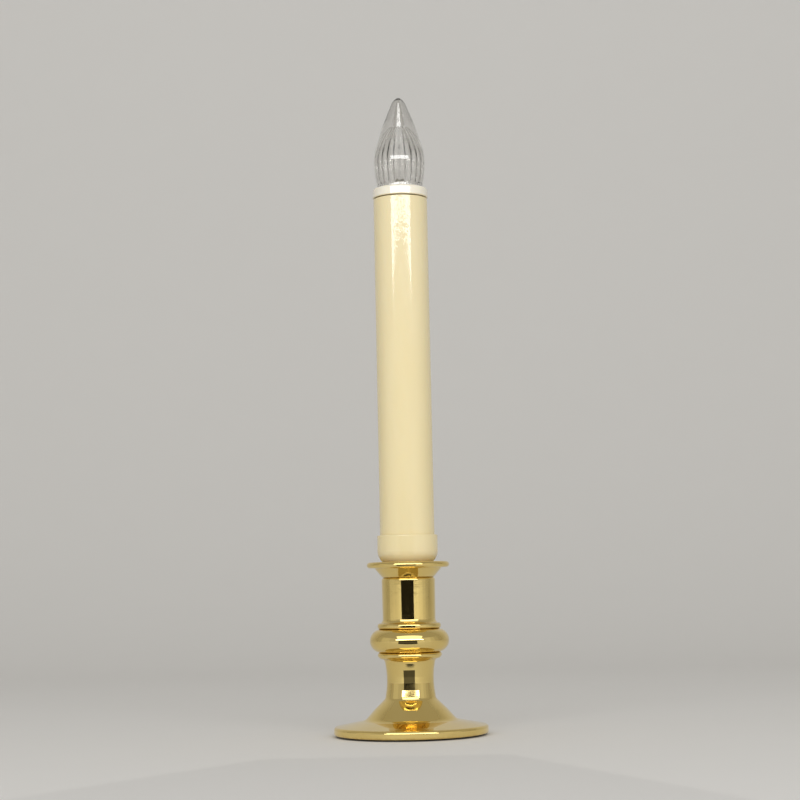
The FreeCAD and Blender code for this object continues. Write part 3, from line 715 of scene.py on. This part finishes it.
def sleeve(ivory):
    """Long ivory tube, open at both ends."""
    size = Span("candle_tube")
    wall = 1.2
    inner = size.radius - wall
    edge = 0.25
    return lathe("candle_tube_look", [
        (inner, 0, Soft(0.2)),
        (size.radius, 0, Soft(edge)),
        (size.radius, size.height, Soft(edge)),
        (inner, size.height, Soft(0.2)),
    ], size.bottom, ivory)


def collar(plastic):
    """Ring under the lens with its turning skirt below."""
    size = Span("twist_collar")
    lens = Span("bulb_lens")
    skirt = 8.82
    inner = skirt - 1.22
    groove = 8.2
    groove_low = 7.2
    groove_high = 8.2
    board_ledge = 0.7
    crown = 1.0
    shoulder = Span("candle_tube").top + 0.4 - size.bottom
    seat = lens.bottom - size.bottom
    seat_radius = 9.35
    ledge = Span("circuit_board").bottom - size.bottom
    return lathe("twist_collar_look", [
        (inner, 0),
        (skirt, 0, Soft(0.1)),
        (skirt, groove_low),
        (groove, groove_low),
        (groove, groove_high),
        (skirt, groove_high),
        (skirt, shoulder),
        (size.radius, shoulder, Soft(0.3)),
        (size.radius, size.height - crown, Arc(crown, +1)),
        (size.radius - crown, size.height),
        (seat_radius, size.height, Soft(0.1)),
        (seat_radius, seat),
        (inner, seat),
        (inner, ledge),
        (inner - board_ledge, ledge),
        (inner - board_ledge, ledge - 2 * board_ledge),
        (inner, ledge - 2 * board_ledge),
    ], size.bottom, plastic)


def lens(clear, hazy):
    """Flame-shaped envelope: smooth outside, fluted bore, narrow smooth hollow in the tip."""
    size = Span("bulb_lens")
    foot_radius = 9.3
    foot_height = 2.9
    wall = 2.0
    swell = 12.0
    flutes = 20
    flute_low = 3.6
    flute_high = 26.3
    knurls = 48
    knurl_depth = 0.06
    knurl_low = 1.7
    knurl_high = 2.7
    tip = 1.5
    tip_rise = 0.75
    tip_dome = (tip * tip + tip_rise * tip_rise) / (2 * tip_rise)
    cone_top = size.height - 2.8

    def fluted(radius, height, angle):
        """Ribs round the outside of the foot, and cusped flutes in the bore."""
        if knurl_low < height < knurl_high and radius > foot_radius - 0.5:
            return radius + knurl_depth * (1 + math.cos(angle * knurls))
        inside = radius < size.radius - 1.5 and flute_low < height < flute_high
        if not inside or radius > bore_limit(height):
            return radius
        grow = min(1.0, (flute_high - height) / 0.7) * min(1.0, (height - flute_low) / 1.2)
        depth = (0.06 * radius + 0.1) * math.sqrt(max(grow, 0.0))
        return radius + depth * (abs(math.sin(angle * flutes / 2)) - 0.35)

    def bore_limit(height):
        """A radius between the bore and the outside at this height."""
        return outer_radius(height) - 1.2

    def outer_radius(height):
        """The outside's radius at this height, or 0 past its ends."""
        high = [p for p in outer if p.y >= height]
        low = [p for p in outer if p.y < height]
        if not high or not low:
            return 0.0
        before, after = low[-1], high[0]
        share = (height - before.y) / max(after.y - before.y, TINY)
        return before.x + (after.x - before.x) * share

    outer = outline([
        (foot_radius, 0.0),
        (foot_radius, foot_height, Arc(40.0, +1)),
        (size.radius, swell, Arc(22.0, +1)),
        (size.radius - 1.1, swell + 7.6, Arc(120.0, +1)),
        (3.0, cone_top, Arc(4.5, +1)),
        (tip, size.height - tip_rise, Arc(tip_dome, +1)),
        (0.0, size.height),
    ])
    inner = outline([
        (0.0, size.height - 1.5),
        (0.6, cone_top),
        (1.8, flute_high + 0.05),
        (2.4, flute_high - 0.05, Arc(52.0, -1)),
        (size.radius - wall - 0.85, swell + 4.44, Arc(12.0, -1)),
        (size.radius - wall, swell, Arc(40.0, -1)),
        (foot_radius - wall, foot_height + 0.3),
        (foot_radius - wall, 0.0),
    ])
    walls = [(p.x, p.y) for p in finer(outer, 0.7) + finer(inner, 0.35)]
    piece = lathe("bulb_lens_look", walls, size.bottom, clear, flutes * 12, fluted)
    piece.data.materials.append(hazy)
    for face in piece.data.polygons:
        place = face.center / MM
        height = place.z - size.bottom
        if flute_low < height < flute_high and place.to_2d().length < bore_limit(height):
            face.material_index = 1
    return piece


def finer(points, step):
    """The same open line with points no further apart than step."""
    line = [points[0]]
    for before, after in zip(points, points[1:]):
        count = max(1, math.ceil((after - before).length / step))
        line += [before.lerp(after, k / count) for k in range(1, count + 1)]
    return line


# ---------------------------------------------------------------- camera, lights, stage

def cyclorama():
    """A pale sheet, in metres, that runs along the floor and up behind in one curve."""
    half_width = 3.0
    front = -2.2
    back = 1.3
    bend = 0.8
    top = 3.0
    floor = -0.0002
    steps = 24
    line = [(front, floor), (back - bend, floor)]
    for k in range(1, steps + 1):
        angle = math.pi / 2 * k / steps
        line.append((back - bend + bend * math.sin(angle), bend - bend * math.cos(angle)))
    line.append((back, top))
    verts = [(x, y, z) for y, z in line for x in (-half_width, half_width)]
    faces = [(2 * k, 2 * k + 1, 2 * k + 3, 2 * k + 2) for k in range(len(line) - 1)]
    mesh = bpy.data.meshes.new("cyclorama")
    mesh.from_pydata(verts, [], faces)
    finish_mesh("cyclorama", mesh, stage_paper())


def softbox(name, azimuth, elevation, distance, width, height, radiance, target):
    """An area light on a sphere round the target, facing it, in degrees and metres.

    Its radiance adds to the room's light behind it.
    """
    data = bpy.data.lights.new(name, "AREA")
    data.shape = "RECTANGLE"
    data.size = width
    data.size_y = height
    data.energy = radiance * math.pi * width * height
    light = bpy.data.objects.new(name, data)
    turn = math.radians(azimuth)
    rise = math.radians(elevation)
    level = math.cos(rise)
    away = Vector((math.sin(turn) * level, -math.cos(turn) * level, math.sin(rise)))
    light.location = target + away * distance
    light.rotation_mode = "QUATERNION"
    light.rotation_quaternion = away.to_track_quat("Z", "Y")
    light.visible_camera = False
    bpy.context.scene.collection.objects.link(light)


def dark_card():
    """A low black card in front, seen only in reflections: the dark heart of the brass."""
    near = -0.085
    far = -0.95
    left = math.tan(math.radians(-32))
    right = math.tan(math.radians(22))
    lift = 0.001
    top = 0.13
    verts = [(-near * left, near, lift), (-near * right, near, lift),
             (-far * right, far, lift), (-far * left, far, lift),
             (-far * right, far, top), (-far * left, far, top)]
    mesh = bpy.data.meshes.new("dark_card")
    mesh.from_pydata(verts, [], [(0, 1, 2, 3), (3, 2, 4, 5)])
    make = Recipe("black_card")
    make.color(make.mix(make.noise(30.0), (0.012, 0.011, 0.010), (0.02, 0.018, 0.016)))
    make.rough(0.9)
    card = finish_mesh("dark_card", mesh, make.material)
    card.visible_camera = False
    card.visible_diffuse = False
    card.visible_shadow = False


def lights():
    """A bright strip above the camera, panels that fade to each side, and a pale room."""
    middle = Vector((0, 0, 0.10))
    high = Vector((0, 0, 0.21))
    panel_sweep = 14
    panel_distance = 1.0
    panel_width = 2 * panel_distance * math.tan(math.radians(panel_sweep / 2))
    softbox("strip_front", 0, 14.4, 2.5, 4.2, 0.31, 7.2, high)
    softbox("ceiling_front", 0, 38, 1.2, 1.6, 0.74, 1.3, middle)
    for nearest, radiances in ((-33, (0.09, 0.11, 0.17, 0.16, 0.03)),
                               (22, (0.12, 0.20, 0.24, 0.15, 0.06))):
        for k, radiance in enumerate(radiances):
            azimuth = nearest + math.copysign(panel_sweep * (k + 0.5), nearest)
            softbox("panel", azimuth, 4, panel_distance, panel_width, 0.8, radiance, middle)
    dark_card()
    world = bpy.data.worlds.new("studio")
    bpy.context.scene.world = world
    world.use_nodes = True
    world.node_tree.nodes["Background"].inputs["Color"].default_value = (0.37, 0.355, 0.325, 1)
    world.node_tree.nodes["Background"].inputs["Strength"].default_value = 1.0
    bpy.context.scene.view_settings.view_transform = "Standard"


def camera():
    """Low in front of the candle, tipped up a little, with the candle's top leaning left."""
    data = bpy.data.cameras.new("camera")
    data.lens = 83.6
    data.sensor_width = 36.0
    eye = bpy.data.objects.new("camera", data)
    tilt = 5.50
    lean = 1.2
    aside = -0.0018
    stand_off = 0.750
    eye_height = 0.062
    eye.matrix_world = (Matrix.Translation((aside, -stand_off, eye_height))
                        @ Matrix.Rotation(math.radians(90 + tilt), 4, "X")
                        @ Matrix.Rotation(math.radians(-lean), 4, "Z"))
    bpy.context.scene.collection.objects.link(eye)
    bpy.context.scene.camera = eye


# ---------------------------------------------------------------- put together

camera()
lights()
cyclorama()

brass = plated_brass()
ivory = ivory_plastic()
painted_pale_collar_plastic = collar_plastic()
clear = clear_lens("clear_acrylic", 0.01, 0.05)
hazy = clear_lens("hazy_acrylic", 0.10, 0.17)

for build, node in ((foot, "foot_shell"), (lower_ring, "lower_step_ring"), (knop, "knop"),
                    (upper_ring, "upper_step_ring"), (column, "column_sleeve"),
                    (pan, "drip_pan")):
    place(build(brass), "candlestick", "plated_brass", node)
place(socket(ivory), "candlestick", "ivory_plastic", "candle_socket")
place(sleeve(ivory), "candle_sleeve", "ivory_plastic", "candle_tube")
place(collar(painted_pale_collar_plastic), "bulb", "ivory_plastic", "twist_collar")
place(lens(clear, hazy), "bulb", "clear_lens", "bulb_lens")
pad = place(base_pad(foam()), "candlestick", "pad", "base_pad")

nickel = metal("nickel_steel", (0.72, 0.70, 0.66), (0.55, 0.53, 0.48), 0.18, 0.38, 0.003)
zinc = metal("zinc_steel", (0.66, 0.67, 0.68), (0.50, 0.50, 0.47), 0.28, 0.5, 0.006, (1, 1, 6))
brass_strip = metal("stamped_brass", (0.78, 0.56, 0.22), (0.55, 0.36, 0.13), 0.22, 0.42, 0.004)
carrier = moulded("carrier_plastic", (0.76, 0.69, 0.50), (0.72, 0.64, 0.45), 0.38, 0.55, 0.03)
holder = moulded("holder_plastic", (0.84, 0.82, 0.75), (0.80, 0.77, 0.68), 0.35, 0.5)
black = moulded("black_epoxy", (0.025, 0.025, 0.027), (0.04, 0.04, 0.04), 0.4, 0.6, 0.03)
jacket = cell_jacket()

FINISHES = {
    "base_weight": cast_iron(),
    "tie_rod": zinc,
    "tie_rod_nuts": zinc,
    "tie_rod_washers": zinc,
    "battery_carrier": carrier,
    "negative_plate": nickel,
    "negative_spring": nickel,
    "positive_plate": nickel,
    "lower_cell": jacket,
    "upper_cell": jacket,
    "contact_stud": brass_strip,
    "return_strip": nickel,
    "bulb_holder": holder,
    "return_finger": brass_strip,
    "contact_plunger": brass_strip,
    "feed_spring": nickel,
    "snap_ring": nickel,
    "cam_ring": holder,
    "slip_ring": brass_strip,
    "return_wire": black,
    "circuit_board": circuit_board(),
    "board_contact": brass_strip,
    "driver_chip": black,
    "resistor": resistor_lacquer(),
    "led_leads": nickel,
    "led_lamp": lamp_epoxy(),
}
for node, material in FINISHES.items():
    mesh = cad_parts[node].data
    mesh.materials.clear()
    mesh.materials.append(material)
    mesh.shade_smooth()
    mesh.set_sharp_from_angle(angle=SHARP)
